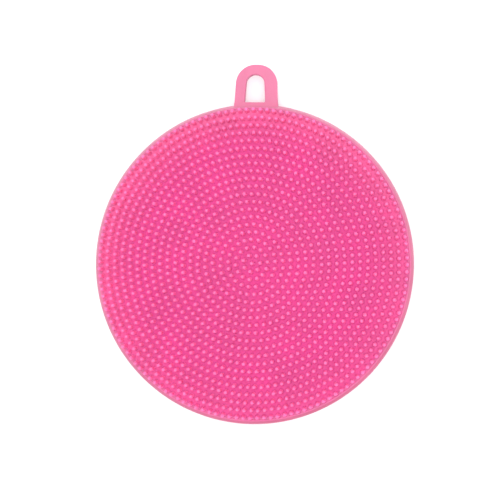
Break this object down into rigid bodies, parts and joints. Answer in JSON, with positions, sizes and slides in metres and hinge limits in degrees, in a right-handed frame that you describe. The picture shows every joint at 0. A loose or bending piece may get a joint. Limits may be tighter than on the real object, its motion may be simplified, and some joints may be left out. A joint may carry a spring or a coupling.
{
  "type": "silicone scrubbing pad",
  "caption": "Round double-sided silicone scrubbing pad with concentric rings of short bristles on both faces and a flexible hang loop at the edge.",
  "frame": {"origin": "centre of the disc, half way through its thickness", "axes": "+Z is the front face's normal, +Y points from the centre to the hang loop, +X to the right seen from the front"},
  "size_m": [0.115, 0.1292, 0.0108],
  "materials": {
    "web_silicone": "satin moulded silicone, deep pink",
    "bristle_silicone": "satin moulded silicone, translucent pink with lighter tips",
    "edge_silicone": "satin moulded silicone, lighter translucent pink"
  },
  "bodies": {
    "pad": {"web": "web_silicone", "rim": "edge_silicone", "front_centre_bristle": "bristle_silicone", "front_bristle_ring_01": "bristle_silicone", "front_bristle_ring_02": "bristle_silicone", "front_bristle_ring_03": "bristle_silicone", "front_bristle_ring_04": "bristle_silicone", "front_bristle_ring_05": "bristle_silicone", "front_bristle_ring_06": "bristle_silicone", "front_bristle_ring_07": "bristle_silicone", "front_bristle_ring_08": "bristle_silicone", "front_bristle_ring_09": "bristle_silicone", "front_bristle_ring_10": "bristle_silicone", "front_bristle_ring_11": "bristle_silicone", "front_bristle_ring_12": "bristle_silicone", "front_bristle_ring_13": "bristle_silicone", "front_bristle_ring_14": "bristle_silicone", "front_bristle_ring_15": "bristle_silicone", "front_bristle_ring_16": "bristle_silicone", "front_bristle_ring_17": "bristle_silicone", "front_bristle_ring_18": "bristle_silicone", "front_bristle_ring_19": "bristle_silicone", "front_bristle_ring_20": "bristle_silicone", "back_centre_bristle": "bristle_silicone", "back_bristle_ring_01": "bristle_silicone", "back_bristle_ring_02": "bristle_silicone", "back_bristle_ring_03": "bristle_silicone", "back_bristle_ring_04": "bristle_silicone", "back_bristle_ring_05": "bristle_silicone", "back_bristle_ring_06": "bristle_silicone", "back_bristle_ring_07": "bristle_silicone", "back_bristle_ring_08": "bristle_silicone", "back_bristle_ring_09": "bristle_silicone", "back_bristle_ring_10": "bristle_silicone", "back_bristle_ring_11": "bristle_silicone", "back_bristle_ring_12": "bristle_silicone", "back_bristle_ring_13": "bristle_silicone", "back_bristle_ring_14": "bristle_silicone", "back_bristle_ring_15": "bristle_silicone", "back_bristle_ring_16": "bristle_silicone", "back_bristle_ring_17": "bristle_silicone", "back_bristle_ring_18": "bristle_silicone", "back_bristle_ring_19": "bristle_silicone", "back_bristle_ring_20": "bristle_silicone"},
    "loop": {"hang_loop": "edge_silicone"}
  },
  "joints": [
    {"name": "loop_flex", "type": "hinge", "parent": "pad", "child": "loop", "pos_m": [0, 0.0591, 0], "axis": [1, 0, 0], "range_deg": [-15, 75], "stiffness_Nm_per_rad": 0.005}
  ]
}
